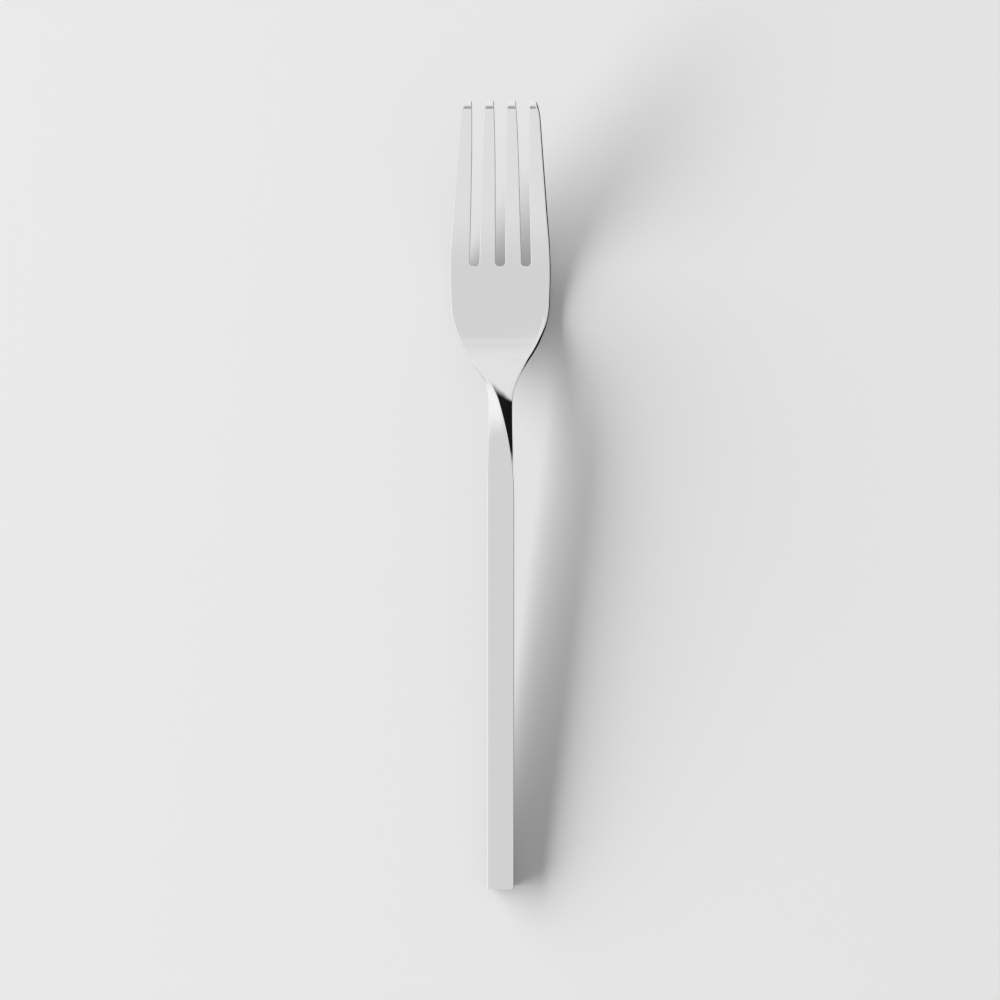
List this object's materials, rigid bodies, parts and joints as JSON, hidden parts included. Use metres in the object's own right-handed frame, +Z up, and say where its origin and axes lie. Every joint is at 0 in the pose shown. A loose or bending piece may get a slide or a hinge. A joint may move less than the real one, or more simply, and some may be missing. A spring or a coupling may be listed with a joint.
{
  "type": "serving fork",
  "caption": "Polished steel serving fork: flat head with slim tines, a neck that turns a quarter turn, and a straight hollow bar handle with a square-cut tail.",
  "frame": {"origin": "on the plane that the belly and the tail rest on, under the middle of the fork's box", "axes": "+Y from the tail to the tines, +Z up, +X to the right seen from above with the tines away"},
  "size_m": [0.0304, 0.235, 0.033],
  "materials": {
    "polished_steel": "mirror-polished stainless steel",
    "cement": "cast resin cement"
  },
  "bodies": {
    "root": {"fork_head": "polished_steel", "handle_upper_shell": "polished_steel", "handle_lower_shell": "polished_steel", "handle_filler": "cement"}
  },
  "joints": []
}
